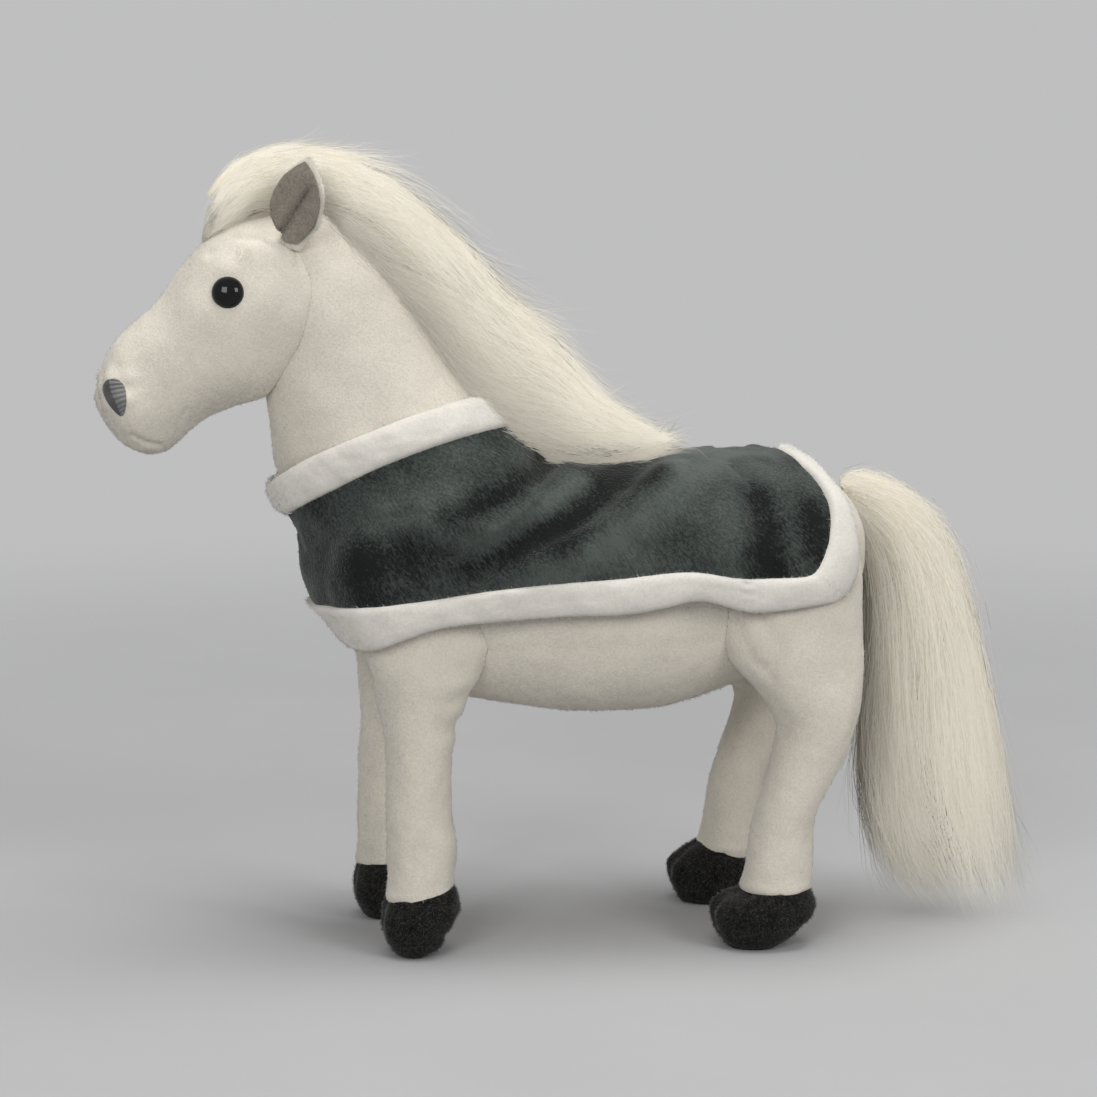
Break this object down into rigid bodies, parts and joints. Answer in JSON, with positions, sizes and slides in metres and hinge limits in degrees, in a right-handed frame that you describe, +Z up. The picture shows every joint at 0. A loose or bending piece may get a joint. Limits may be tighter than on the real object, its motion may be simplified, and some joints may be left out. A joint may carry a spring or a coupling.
{
  "type": "plush horse",
  "caption": "Standing stuffed toy horse with a long hair mane and tail, dark plush hooves and a fleece rug with a pale pile border.",
  "frame": {"origin": "on the floor, under the middle of the part's box", "axes": "+Z up, the nose points towards -X and the tail hangs at +X, the horse's left side faces -Y"},
  "size_m": [0.449, 0.1346, 0.3784],
  "materials": {
    "white_pile": "short creamy white plush pile",
    "border_pile": "brushed white pile trim",
    "hair": "long silky white fibre",
    "hoof_pile": "short charcoal velvet pile",
    "lining_pile": "short grey brown pile",
    "nostril_thread": "satin stitched grey thread",
    "rug_fleece": "dark grey green fleece",
    "eye": "polished black",
    "washer": "plain white moulded plastic",
    "tape": "black hook and loop tape"
  },
  "bodies": {
    "horse": {"torso": "white_pile", "neck": "white_pile", "head": "white_pile", "left_fore_leg": "white_pile", "right_fore_leg": "white_pile", "left_hind_leg": "white_pile", "right_hind_leg": "white_pile", "left_fore_hoof": "hoof_pile", "right_fore_hoof": "hoof_pile", "left_hind_hoof": "hoof_pile", "right_hind_hoof": "hoof_pile", "left_fore_sole": "hoof_pile", "right_fore_sole": "hoof_pile", "left_hind_sole": "hoof_pile", "right_hind_sole": "hoof_pile", "left_ear": "white_pile", "right_ear": "white_pile", "left_ear_lining": "lining_pile", "right_ear_lining": "lining_pile", "left_eye": "eye", "right_eye": "eye", "left_eye_washer": "washer", "right_eye_washer": "washer", "left_nostril": "nostril_thread", "right_nostril": "nostril_thread", "forelock": "hair", "mane": "hair", "rug": "rug_fleece", "neck_border": "border_pile", "left_hem_border": "border_pile", "right_hem_border": "border_pile", "rear_border": "border_pile", "hook_tape": "tape", "loop_tape": "tape"},
    "tail": {"tail": "hair"}
  },
  "joints": [
    {"name": "tail_lift", "type": "hinge", "parent": "horse", "child": "tail", "pos_m": [0.13602, 0, 0.21255], "axis": [0, -1, 0], "range_deg": [0, 60]}
  ]
}
